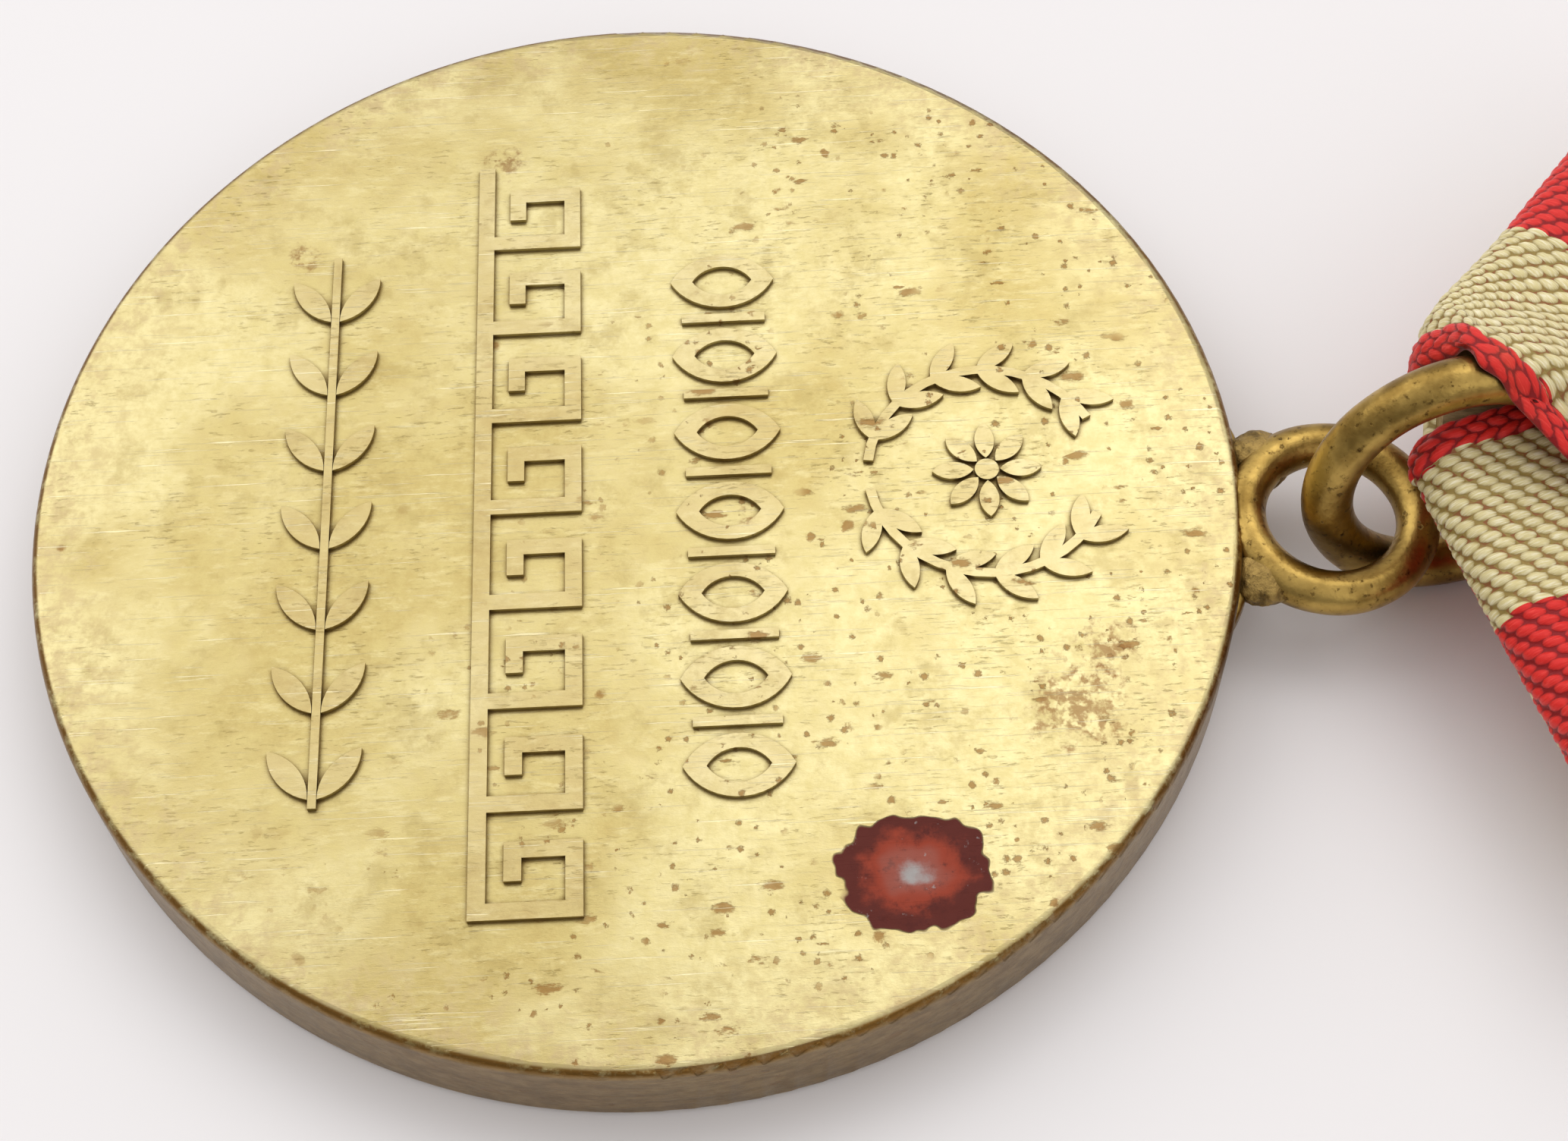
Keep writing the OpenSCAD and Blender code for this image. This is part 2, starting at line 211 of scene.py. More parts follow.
struckLook = {"light": "#D4C895", "mid": "#C6B77B", "dull": "#B5A268", "mottle": "#A4915A", "pink": "#B0987A",
              "oxide": "#835820", "darkOxide": "#4A2614", "bruise": "#7A5026", "dash": "#8C7438",
              "grime": "#63481C", "cut": "#FFF6CC", "edge": "#7E5C2C", "side": "#8E7350", "sideShadeDark": "#6C5338"}
struckSizes = {"reliefFrom": 2.96, "reliefTo": 3.02, "rimFrom": 12.5, "rimTo": 15.9,
               "sideFrom": 15.55, "sideTo": 15.8, "edgeIn": 15.78, "edgeFull": 15.86,
               "edgeFade": 15.93, "edgeOut": 15.995, "backHalf": 1.5}
freckleSets = [  # cell in mm, share kept, size in cells, stretch along x, shift in mm, from and to density
    (0.34, 0.4, 0.26, 1.0, (0, 0, 0), 0.1, 0.45),
    (0.62, 0.6, 0.21, 0.45, (0, 0, 0), 0.05, 0.42),
    (1.15, 0.55, 0.13, 1.0, (4.1, 2.3, 0), 0.05, 0.3),
]
bruises = [  # x, y, radius in mm
    (-9.2, 8.2, 0.5), (11.0, -6.8, 1.5), (12.0, -5.2, 1.0), (2.9, -0.9, 0.36), (-3.6, 11.2, 0.6)]
hairlines = [  # turn, pitch in mm, length in mm, threshold
    (0.1, 0.07, 2.6, 0.64), (0.9, 0.06, 3.4, 0.69), (-0.55, 0.06, 3.0, 0.68)]
rustLook = {"at": (6.64, -11.11), "long": 1.9, "short": 1.58, "ragged": 0.46,
            "rim": "#5E2015", "red": "#9A3C24", "crust": "#541A12", "pale": "#9C6458", "grey": "#A9A5A2"}


def rustStain(tree, where, flat, height):  # its mask, colour and ragged pattern
    look = rustLook
    x, y = look["at"]
    centre = addNode(tree, "Mapping", {"Vector": flat, "Location": (-x * mm, -y * mm, 0)})
    centre = addNode(tree, "Mapping", {"Vector": centre, "Scale": (1 / look["long"], 1 / look["short"], 1)})
    away = addNode(tree, "VectorMath", {0: centre}, operation="LENGTH")
    scallop = grains(tree, where, 0.58, 1.0, 0.4)
    wave = addNode(tree, "Math", {0: scallop, 1: 0.5}, operation="SUBTRACT")
    away = addNode(tree, "Math", {0: wave, 1: look["ragged"] * mm, 2: away}, operation="MULTIPLY_ADD")
    mask = addNode(tree, "MapRange", {0: away, 1: 1.01 * mm, 2: 0.96 * mm}, **soft)
    onBack = addNode(tree, "Math", {0: height, 1: struckSizes["backHalf"] * mm}, operation="GREATER_THAN")
    mask = addNode(tree, "Math", {0: mask, 1: onBack}, operation="MULTIPLY")
    crust = grains(tree, where, 0.35, 5.0, 0.7)
    ring = addNode(tree, "Math", {0: crust, 1: 0.5 * mm, 2: away}, operation="MULTIPLY_ADD")
    rust = coat(tree, look["rim"], look["red"], ring, 1.0, (1.05 * mm, 0.72 * mm))
    rust = coat(tree, rust, look["crust"], crust, 0.7, (0.54, 0.68))
    rust = coat(tree, rust, look["pale"], away, 0.5, (0.55 * mm, 0.25 * mm))
    middle = addNode(tree, "Math", {0: crust, 1: 0.3 * mm, 2: away}, operation="MULTIPLY_ADD")
    rust = coat(tree, rust, look["grey"], middle, 1.0, (0.42 * mm, 0.16 * mm))
    rust = coat(tree, rust, look["grey"], grains(tree, where, 0.3, 3.0, 0.6), 0.6, (0.66, 0.74))
    return mask, rust, scallop


def struckBrass():
    # struck brass: satin and mellow yellow, mottled, with hairlines, oxide freckles and a rust stain
    look, sizes = struckLook, struckSizes
    material, tree, shader = newMaterial("Struck brass, worn satin")
    where = addNode(tree, "TexCoord", output="Object")
    x, y, z = addNode(tree, "SeparateXYZ", {0: where}).node.outputs
    flat = addNode(tree, "CombineXYZ", {0: x, 1: y})
    radius = addNode(tree, "VectorMath", {0: flat}, operation="LENGTH")
    upward = addNode(tree, "SeparateXYZ", {0: addNode(tree, "NewGeometry", output="Normal")}, output="Z")
    upward = addNode(tree, "Math", {0: upward}, operation="ABSOLUTE")
    facing = addNode(tree, "MapRange", {0: upward, 1: 0.45, 2: 0.9}, **soft)

    # ground: slow clouds, fine grain, and grain drawn out along the rolling
    cloud = grains(tree, where, 7.0, 4.0, 0.6)
    fine = grains(tree, where, 0.45, 5.0, 0.7)
    rolled = grains(tree, where, (0.9, 0.28, 0.28), 5.0, 0.75)
    mottle = grains(tree, where, 1.2, 5.0, 0.7, shift=(2, 0, 0))
    tone = coat(tree, look["dull"], look["light"], cloud, 1.0, (0.38, 0.62))
    tone = coat(tree, tone, look["mid"], fine, 0.7, (0.3, 0.7))
    tone = coat(tree, tone, look["light"], rolled, 0.5, (0.5, 0.68))
    tone = coat(tree, tone, look["mottle"], mottle, 0.45, (0.5, 0.68))

    # worn to a pinkish grey on the raised tops and towards the rim
    raised = {0: z, 1: sizes["reliefFrom"] * mm, 2: sizes["reliefTo"] * mm, 4: 0.18}
    raised = addNode(tree, "MapRange", raised, **soft)
    rim = {0: radius, 1: sizes["rimFrom"] * mm, 2: sizes["rimTo"] * mm, 4: 0.45}
    rim = addNode(tree, "MapRange", rim, **soft)
    rubbed = addNode(tree, "MapRange", {0: fine, 1: 0.42, 2: 0.66}, **soft)
    rim = addNode(tree, "Math", {0: rim, 1: rubbed}, operation="MULTIPLY")
    wear = addNode(tree, "Math", {0: rim, 1: raised}, operation="MAXIMUM")
    tone = addNode(tree, "Mix", {0: wear, 6: tone, 7: look["pink"]}, data_type="RGBA")

    # short dark dashes along the rolling, gathered in patches
    dashes = grains(tree, where, (0.5, 0.1, 0.1), 3.0, 0.65)
    dashes = addNode(tree, "MapRange", {0: dashes, 1: 0.57, 2: 0.7}, **soft)
    patches = grains(tree, where, 2.6, 3.0, 0.6, shift=(3, 1, 0))
    patches = addNode(tree, "MapRange", {0: patches, 1: 0.36, 2: 0.66}, **soft)
    dashes = addNode(tree, "Math", {0: dashes, 1: patches}, operation="MULTIPLY")
    tone = coat(tree, tone, look["dash"], dashes, 0.42)

    # freckles of oxide, thicker towards the eye and the front
    density = addNode(tree, "Math", {0: y, 1: -0.45, 2: x}, operation="MULTIPLY_ADD")
    density = addNode(tree, "MapRange", {0: density, 1: -14 * mm, 2: 17 * mm}, **soft)
    patches = grains(tree, where, 3.2, 3.0, 0.5)
    patches = addNode(tree, "MapRange", {0: patches, 1: 0.36, 2: 0.62}, **soft)
    density = addNode(tree, "Math", {0: density, 1: patches}, operation="MULTIPLY")
    apart = addNode(tree, "Mapping", {"Vector": where, "Location": (1.7 * mm, 5.3 * mm, 0)})
    freckles = speckMask(tree, apart, 2.7, 0.34, 0.055, 0.7)
    for cell, keep, size, stretch, shift, low, high in freckleSets:
        place = {"Vector": where, "Location": tuple(d * mm for d in shift), "Scale": (stretch, 1, 1)}
        specks = speckMask(tree, addNode(tree, "Mapping", place), cell, keep, size)
        thick = addNode(tree, "MapRange", {0: density, 1: low, 2: high}, **soft)
        specks = addNode(tree, "Math", {0: specks, 1: thick}, operation="MULTIPLY")
        freckles = addNode(tree, "Math", {0: freckles, 1: specks}, operation="MAXIMUM")
    tone = coat(tree, tone, look["oxide"], freckles, 0.74)
    apart = addNode(tree, "Mapping", {"Vector": where, "Location": (2.2 * mm, 7.9 * mm, 0)})
    dark = speckMask(tree, apart, 3.3, 0.4, 0.04)
    tone = coat(tree, tone, look["darkOxide"], dark, 0.9)
    freckles = addNode(tree, "Math", {0: freckles, 1: dark}, operation="MAXIMUM")

    # crumbled brown bruises where the oxide is thickest
    crumbs = addNode(tree, "MapRange", {0: grains(tree, where, 0.32, 3.0, 0.6), 1: 0.4, 2: 0.56}, **soft)
    ragged = addNode(tree, "Math", {0: fine, 1: 0.5}, operation="SUBTRACT")
    for px, py, size in bruises:
        away = addNode(tree, "Mapping", {"Vector": flat, "Location": (-px * mm, -py * mm, 0)})
        away = addNode(tree, "VectorMath", {0: away}, operation="LENGTH")
        away = addNode(tree, "Math", {0: ragged, 1: 3.2 * size * mm, 2: away}, operation="MULTIPLY_ADD")
        bruise = addNode(tree, "MapRange", {0: away, 1: size * mm, 2: 0.2 * size * mm}, **soft)
        bruise = addNode(tree, "Math", {0: bruise, 1: crumbs}, operation="MULTIPLY")
        tone = coat(tree, tone, look["bruise"], bruise, 0.72)

    # hairlines cut bright, then grime in the corners of the raised work
    lines = 0.0
    for turn, pitch, length, threshold in hairlines:
        cut = scratchMask(tree, where, turn, pitch, length, threshold)
        lines = addNode(tree, "Math", {0: lines, 1: cut}, operation="MAXIMUM")
    tone = coat(tree, tone, look["cut"], lines, 0.4)
    hollow = addNode(tree, "AmbientOcclusion", {"Distance": 0.22 * mm}, output="AO", samples=6, only_local=True)
    grime = addNode(tree, "MapRange", {0: hollow, 1: 0.88, 2: 0.5}, **soft)
    tone = coat(tree, tone, look["grime"], grime, 0.85)

    # the steep outer side wall is darkened with painted shade, and the edge is rubbed to a broken brown line
    side = addNode(tree, "Math", {0: 1.0, 1: facing}, operation="SUBTRACT")
    outer = {0: radius, 1: sizes["sideFrom"] * mm, 2: sizes["sideTo"] * mm}
    outer = addNode(tree, "MapRange", outer, **soft)
    side = addNode(tree, "Math", {0: side, 1: outer}, operation="MULTIPLY")
    # painted shade: darker browns for the outer side wall, mottled along the rolling
    sideShadeTone = coat(tree, look["sideShadeDark"], look["side"], rolled, 1.0, (0.35, 0.65))
    tone = coat(tree, tone, sideShadeTone, side, 0.85)
    edge = addNode(tree, "MapRange", {0: radius, 1: sizes["edgeIn"] * mm, 2: sizes["edgeFull"] * mm}, **soft)
    fade = addNode(tree, "MapRange", {0: radius, 1: sizes["edgeOut"] * mm, 2: sizes["edgeFade"] * mm}, **soft)
    broken = addNode(tree, "MapRange", {0: fine, 1: 0.3, 2: 0.55}, **soft)
    edge = addNode(tree, "Math", {0: edge, 1: fade}, operation="MULTIPLY")
    edge = addNode(tree, "Math", {0: edge, 1: broken}, operation="MULTIPLY")
    tone = addNode(tree, "Mix", {0: edge, 6: tone, 7: look["edge"]}, data_type="RGBA")

    stain, rust, scallop = rustStain(tree, where, flat, z)
    tone = addNode(tree, "Mix", {0: stain, 6: tone, 7: rust}, data_type="RGBA")
    tree.links.new(tone, shader.inputs["Base Color"])
    dull = addNode(tree, "Math", {0: freckles, 1: 0.15}, operation="MULTIPLY")
    dull = addNode(tree, "Math", {0: stain, 1: dull}, operation="MAXIMUM")
    metal = addNode(tree, "Math", {0: dull, 1: -0.62, 2: 1.0}, operation="MULTIPLY_ADD")
    tree.links.new(metal, shader.inputs["Metallic"])
    gloss = addNode(tree, "Math", {0: fine, 1: 0.16, 2: 0.29}, operation="MULTIPLY_ADD")
    for mask, rough in ((dull, 0.7), (grime, 0.6)):
        mask = addNode(tree, "Math", {0: mask, 1: rough}, operation="MULTIPLY")
        gloss = addNode(tree, "Math", {0: gloss, 1: mask}, operation="MAXIMUM")
    tree.links.new(gloss, shader.inputs["Roughness"])

    height = addNode(tree, "Math", {0: fine, 1: 0.016}, operation="MULTIPLY")
    for mask, rise in ((cloud, 0.12), (rolled, 0.016), (dashes, -0.01), (lines, -0.006), (freckles, -0.01)):
        height = addNode(tree, "Math", {0: mask, 1: rise, 2: height}, operation="MULTIPLY_ADD")
    crust = addNode(tree, "Math", {0: scallop, 1: 0.12, 2: 0.02}, operation="MULTIPLY_ADD")
    height = addNode(tree, "Math", {0: stain, 1: crust, 2: height}, operation="MULTIPLY_ADD")
    addRelief(tree, shader, height, 0.6)
    return material


wireLook = {"bright": "#BC9D56", "mid": "#856A34", "dark": "#4E391A", "paintedShade": "#2E2110"}


def wornWire():
    # drawn brass wire, browned with age, with painted shade darkening it where it lies close to other parts, so
    # its crowns stay bright
    look = wireLook
    material, tree, shader = newMaterial("Drawn brass wire, browned")
    where = addNode(tree, "TexCoord", output="Object")
    cloud = grains(tree, where, 1.5, 4.0, 0.6)
    fine = grains(tree, where, 0.22, 4.0, 0.65)
    pits = speckMask(tree, where, 0.3, 0.3, 0.2)
    hollow = addNode(tree, "AmbientOcclusion", {"Distance": 0.7 * mm}, output="AO", samples=6)
    tone = coat(tree, look["mid"], look["bright"], cloud, 1.0, (0.35, 0.65))
    tone = coat(tree, tone, look["dark"], fine, 1.0, (0.55, 0.75))
    tone = coat(tree, tone, look["dark"], pits, 0.6)
    # painted shade: near black where the wire lies close to other parts
    tone = coat(tree, tone, look["paintedShade"], hollow, 0.8, (0.7, 0.25))
    tree.links.new(tone, shader.inputs["Base Color"])
    shader.inputs["Metallic"].default_value = 1.0
    gloss = addNode(tree, "Math", {0: fine, 1: 0.3, 2: 0.2}, operation="MULTIPLY_ADD")
    tree.links.new(gloss, shader.inputs["Roughness"])
    height = addNode(tree, "Math", {0: fine, 1: 0.02}, operation="MULTIPLY")
    for mask, rise in ((cloud, 0.05), (pits, -0.02)):
        height = addNode(tree, "Math", {0: mask, 1: rise, 2: height}, operation="MULTIPLY_ADD")
    addRelief(tree, shader, height, 0.7)
    return material


def softSolder():
    # tin-lead solder, cast in a lump: dull, pitted, browned by flux
    material, tree, shader = newMaterial("Soft solder, pitted")
    where = addNode(tree, "TexCoord", output="Object")
    lumps = grains(tree, where, 0.5, 5.0, 0.65)
    pits = grains(tree, where, 0.14, 4.0, 0.7)
    tone = coat(tree, "#6A552C", "#A88C50", lumps, 1.0, (0.35, 0.6))
    tone = coat(tree, tone, "#4A3C26", pits, 1.0, (0.58, 0.72))
    tree.links.new(tone, shader.inputs["Base Color"])
    shader.inputs["Metallic"].default_value = 0.85
    shader.inputs["Roughness"].default_value = 0.48
    height = addNode(tree, "Math", {0: pits, 1: 0.03}, operation="MULTIPLY")
    height = addNode(tree, "Math", {0: lumps, 1: 0.12, 2: height}, operation="MULTIPLY_ADD")
    addRelief(tree, shader, height, 0.8)
    return material


def sheetMetal(name, light, dark, rough, grit):  # grit: width in mm of the rolling lines
    material, tree, shader = newMaterial(name)
    where = addNode(tree, "TexCoord", output="Object")
    cloud = grains(tree, where, 3.0, 4.0, 0.6)
    lines = grains(tree, where, (2.4, grit, grit), 4.0, 0.7, turn=0.2)
    hollow = addNode(tree, "AmbientOcclusion", {"Distance": 0.6 * mm}, output="AO", samples=4)
    tone = coat(tree, dark, light, cloud, 1.0, (0.3, 0.7))
    tone = coat(tree, tone, dark, lines, 0.5, (0.55, 0.75))
    # painted shade: a dark grey laid into corners and where parts come close
    tone = coat(tree, tone, "#3A342C", hollow, 0.5, (0.7, 0.3))
    tree.links.new(tone, shader.inputs["Base Color"])
    shader.inputs["Metallic"].default_value = 1.0
    gloss = addNode(tree, "Math", {0: lines, 1: 0.25, 2: rough}, operation="MULTIPLY_ADD")
    tree.links.new(gloss, shader.inputs["Roughness"])
    height = addNode(tree, "Math", {0: lines, 1: 0.01}, operation="MULTIPLY")
    height = addNode(tree, "Math", {0: cloud, 1: 0.03, 2: height}, operation="MULTIPLY_ADD")
    addRelief(tree, shader, height, 0.6)
    return material


def fibrous(name, dark, light, size, rough, detail=3.0, rag=0.6, turn=0.0):  # matt fibres, size in mm
    material, tree, shader = newMaterial(name)
    where = addNode(tree, "TexCoord", output="Object")
    fibre = grains(tree, where, size, detail, rag, turn=turn)
    tone = coat(tree, dark, light, fibre, 1.0, (0.35, 0.65))
    tree.links.new(tone, shader.inputs["Base Color"])
    shader.inputs["Roughness"].default_value = rough
    addRelief(tree, shader, fibre, 0.7, 0.05)
    return material


brassFace = struckBrass()
brassWire = wornWire()
solderGrey = softSolder()
# stamped sheet brass: smoother and darker than the struck face
plateBrass = sheetMetal("Sheet brass, stamped", "#C9AE66", "#8E7440", 0.3, 0.12)
# nickelled steel: cool grey with a soft shine
nickelled = sheetMetal("Nickel plate on steel, stamped", "#C4C2BC", "#8A8880", 0.24, 0.1)
# spring wire: drawn, brighter along its length
springWire = sheetMetal("Spring steel wire, drawn", "#B4B2AE", "#77746E", 0.22, 0.06)
# straw board: brown-grey, fibrous and matt
board = fibrous("Straw board, cut", "#8E7650", "#B89C70", (1.2, 0.15, 0.15), 0.9, 4.0, 0.7)
# mercerised sewing thread: dark red and twisted
sewingThread = fibrous("Cotton thread, twisted", "#7A0E12", "#B42024", (0.5, 0.08, 0.08), 0.7, turn=0.6)
print("metals, card and thread", len(bpy.data.materials), "materials")


discLook = {"bevel": 0.08, "merge": 0.002, "flat": 0.8, "sharp": 50, "hard": 34}  # mm and degrees


def makeDisc():
    bm = bmesh.new()
    bm.from_mesh(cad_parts["medal_disc"].data)
    bmesh.ops.remove_doubles(bm, verts=bm.verts, dist=discLook["merge"] * mm)
    bmesh.ops.dissolve_limit(bm, angle_limit=math.radians(discLook["flat"]), verts=bm.verts, edges=bm.edges)
    limit = math.radians(discLook["sharp"])
    sharp = [e for e in bm.edges if len(e.link_faces) == 2 and e.calc_face_angle(0) > limit]
    bmesh.ops.bevel(bm, geom=sharp, offset=discLook["bevel"] * mm, offset_type="OFFSET", segments=3,
                    profile=0.5, affect="EDGES", clamp_overlap=True, material=-1)
    bmesh.ops.triangulate(bm, faces=[f for f in bm.faces if len(f.verts) > 4])
    disc = meshObject("disc", bm, brassFace, "medal", ["medal_disc"])
    bevelShading(disc, discLook["hard"])
    return disc


def bevelShading(piece, degrees):  # level faces stay flat and edges sharper than this angle stay hard
    bm = bmesh.new()
    bm.from_mesh(piece.data)
    for face in bm.faces:
        if abs(face.normal.z) > 0.9995:
            face.smooth = False
    for edge in bm.edges:
        if len(edge.link_faces) == 2:
            edge.smooth = edge.calc_face_angle(0) < math.radians(degrees)
    bm.to_mesh(piece.data)
    bm.free()
    piece.modifiers.new("weighted", "WEIGHTED_NORMAL").keep_sharp = True


disc = makeDisc()
print("disc", len(disc.data.polygons), "faces")


eyeSpec = {"centre": (18.3, -1.38, 2.35), "radius": 2.28, "wire": 0.58, "steps": 112, "sides": 28,
           "cutAt": 15.86, "wear": (0.035, 1.6, 3.1)}  # wear: depth, cell, seed
eyeTurn = math.atan2(eyeSpec["centre"][1], eyeSpec["centre"][0])


def spunTorus(radius, wire, steps, sides, angle=tau):
    bm = bmesh.new()
    bmesh.ops.create_circle(bm, segments=sides, radius=wire * mm)
    bmesh.ops.rotate(bm, verts=bm.verts, cent=(0, 0, 0), matrix=Matrix.Rotation(math.pi / 2, 3, "X"))
    bmesh.ops.translate(bm, verts=bm.verts, vec=(radius * mm, 0, 0))
    full = abs(angle - tau) < 1e-6
    bmesh.ops.spin(bm, geom=bm.verts[:] + bm.edges[:], cent=(0, 0, 0), axis=(0, 0, 1), angle=angle, steps=steps,
                   use_merge=full, use_duplicate=False)
    bmesh.ops.remove_doubles(bm, verts=bm.verts, dist=0.001 * mm)
    if not full:
        rims = [e for e in bm.edges if len(e.link_faces) == 1]
        bmesh.ops.holes_fill(bm, edges=rims, sides=sides)
    bmesh.ops.recalc_face_normals(bm, faces=bm.faces)
    return bm


def handMade(bm, amount, cell, seed):  # tiny hollows and flats, as on old wire
    shift = Vector((seed, seed * 0.7, seed * 1.3))
    bm.normal_update()
    for v in bm.verts:
        v.co += v.normal * (field.noise(v.co / (cell * mm) + shift) * amount * mm)


def makeEye():
    bm = spunTorus(eyeSpec["radius"], eyeSpec["wire"], eyeSpec["steps"], eyeSpec["sides"])
    bmesh.ops.translate(bm, verts=bm.verts, vec=Vector(eyeSpec["centre"]) * mm)
    handMade(bm, *eyeSpec["wear"])
    outward = Vector((math.cos(eyeTurn), math.sin(eyeTurn), 0))
    bmesh.ops.bisect_plane(bm, geom=bm.verts[:] + bm.edges[:] + bm.faces[:], plane_no=outward,
                           plane_co=outward * eyeSpec["cutAt"] * mm, clear_inner=True)
    bmesh.ops.holes_fill(bm, edges=[e for e in bm.edges if len(e.link_faces) == 1], sides=0)
    return meshObject("eye", bm, brassWire, "medal", ["suspension_eye"])


saddleSpec = {"from": 1.5, "to": 2.42, "out": 16.34, "in": 15.85, "half": 12.5, "steps": 30,
              "bevel": 0.2, "endDepth": 0.15, "endHeight": 0.55}


def makeSaddle():
    bm = bmesh.new()
    s = saddleSpec
    low, high, deep, proud = s["from"], s["to"], s["in"], s["out"]
    bmesh.ops.create_grid(bm, x_segments=1, y_segments=1, size=0.5)
    for v in bm.verts:
        out, up = v.co.x + 0.5, v.co.y + 0.5
        v.co = Vector(((deep + (proud - deep) * out) * mm, 0, (low + (high - low) * up) * mm))
    bmesh.ops.bevel(bm, geom=[v for v in bm.verts if v.co.x > proud * mm * 0.99], offset_type="OFFSET",
                    offset=s["bevel"] * mm, segments=3, profile=0.5, affect="VERTICES", material=-1)
    start = eyeTurn - math.radians(s["half"])
    bmesh.ops.rotate(bm, verts=bm.verts, cent=(0, 0, 0), matrix=Matrix.Rotation(start, 3, "Z"))
    bmesh.ops.spin(bm, geom=bm.verts[:] + bm.edges[:] + bm.faces[:], cent=(0, 0, 0), axis=(0, 0, 1),
                   angle=2 * math.radians(s["half"]), steps=s["steps"], use_merge=False, use_duplicate=False)
    bmesh.ops.remove_doubles(bm, verts=bm.verts, dist=0.001 * mm)
    inner = [f for f in bm.faces if all(len(e.link_faces) > 2 for e in f.edges)]
    bmesh.ops.delete(bm, geom=inner, context="FACES")
    middle = (low + high) / 2
    for v in bm.verts:  # the pad thins out to nothing at both ends
        r = math.hypot(v.co.x, v.co.y)
        a = math.atan2(v.co.y, v.co.x)
        t = min(1.0, abs(a - eyeTurn) / math.radians(s["half"]))
        swell = 1 - t**3
        r2 = deep * mm + (r - deep * mm) * (s["endDepth"] + (1 - s["endDepth"]) * swell)
        z2 = middle * mm + (v.co.z - middle * mm) * (s["endHeight"] + (1 - s["endHeight"]) * swell)
        v.co = Vector((r2 * math.cos(a), r2 * math.sin(a), z2))
    bmesh.ops.recalc_face_normals(bm, faces=bm.faces)
    return meshObject("eyeSaddle", bm, brassWire, "medal", ["eye_saddle"])


solderSpec = {"turn": 6.15, "reach": 16.62, "height": 2.27, "size": (0.86, 0.86, 0.56),
              "broad": (0.12, 1.7), "small": (0.03, 5.5)}  # lumps: height as a share, frequency


def makeSolder():
    whole = bmesh.new()
    for side in (-1, 1):
        bm = bmesh.new()
        bmesh.ops.create_icosphere(bm, subdivisions=5, radius=1.0)
        for v in bm.verts:
            (broad, often), (small, close) = solderSpec["broad"], solderSpec["small"]
            lump = 1 + broad * field.noise(v.co * often + Vector((side * 5, 2, 1)))
            lump += small * field.noise(v.co * close)
            v.co = Vector([c * lump * s * mm for c, s in zip(v.co, solderSpec["size"])])
        turn = eyeTurn + side * math.radians(solderSpec["turn"])
        bmesh.ops.rotate(bm, verts=bm.verts, cent=(0, 0, 0), matrix=Matrix.Rotation(turn, 3, "Z"))
        bmesh.ops.translate(bm, verts=bm.verts, vec=Vector((math.cos(turn) * solderSpec["reach"],
                            math.sin(turn) * solderSpec["reach"], solderSpec["height"])) * mm)
        part = bpy.data.meshes.new("part")
        bm.to_mesh(part)
        bm.free()
        whole.from_mesh(part)
        bpy.data.meshes.remove(part)
    return meshObject("eyeSolder", whole, solderGrey, "medal", ["eye_solder"])


makeEye()
makeSaddle()
makeSolder()

ringSpec = {"centre": (21.3, -1.2, 4.016), "radius": 3.4, "wire": 0.66, "yaw": 7, "tilt": 78,
            "cut": -38, "gap": 0.16, "steps": 144, "sides": 30, "bevel": 0.07, "wear": (0.03, 1.9, 7.7)}


def makeRing():
    s = ringSpec
    gap = s["gap"] / s["radius"]
    bm = spunTorus(s["radius"], s["wire"], s["steps"], s["sides"], tau - gap)
    ends = [e for f in bm.faces if len(f.verts) > 4 for e in f.edges]
    bmesh.ops.bevel(bm, geom=list(set(ends)), offset=s["bevel"] * mm, offset_type="OFFSET", segments=2,
                    profile=0.5, affect="EDGES", material=-1)
    turn = (Matrix.Rotation(math.radians(s["yaw"]), 3, "Z") @ Matrix.Rotation(math.radians(s["tilt"]), 3, "X")
            @ Matrix.Rotation(math.radians(s["cut"]) + gap / 2, 3, "Z"))
    bmesh.ops.rotate(bm, verts=bm.verts, cent=(0, 0, 0), matrix=turn)
    bmesh.ops.translate(bm, verts=bm.verts, vec=Vector(s["centre"]) * mm)
    handMade(bm, *s["wear"])
    return meshObject("ring", bm, brassWire, "ring", ["connecting_ring"])


makeRing()
print("eye, saddle, solder and ring")


mountSpec = {"place": (21.39, 0.05, 4.9), "yaw": -11, "pitch": 5, "tipX": -0.95, "tipHalf": 2.2, "slope": 60.8,
             "half": 12.0, "length": 45.2, "wrapEnd": 30.0, "sideRoll": 0.5}
mountTurn = (Matrix.Rotation(math.radians(mountSpec["yaw"]), 3, "Z")
             @ Matrix.Rotation(math.radians(mountSpec["pitch"]), 3, "Y"))
turnRows = np.array(mountTurn)


def fromMount(points):  # mount coordinates in mm to the row frame in metres
    return (np.asarray(points) @ turnRows.T + np.array(mountSpec["place"])) * mm


weave = {"across": 0.285, "along": 0.6, "ovalAcross": 0.16, "ovalAlong": 0.285, "lean": -0.5, "height": 0.1,
         "twill": 0.38, "width": 24.0, "edge": 0.86, "edgeRise": 0.2, "edgeLean": 0.95}
stripeEdges = [0.86, 5.3, 9.75, 14.25, 18.7, 23.14]  # red, olive, red, olive, red, olive, red


def knuckles(s, t):  # height from 0 to 1 of the ribbed weave at s mm across and t mm along the ribbon
    column = np.floor(s / weave["across"])
    ds = s - (column + 0.5) * weave["across"]
    odd = np.mod(column, 2)
    onEdge = (s < weave["edge"]) | (s > weave["width"] - weave["edge"])
    lean = np.where(onEdge, weave["edgeLean"] * (1 - 2 * odd), weave["lean"])
    tt = (t + lean * ds) / weave["along"] + np.where(onEdge, odd * 0.5, -weave["twill"] * column)
    dt = (tt - np.floor(tt) - 0.5) * weave["along"]
    q = (ds / weave["ovalAcross"]) ** 2 + (dt / weave["ovalAlong"]) ** 2
    return np.sqrt(np.clip(1 - q, 0, 1))


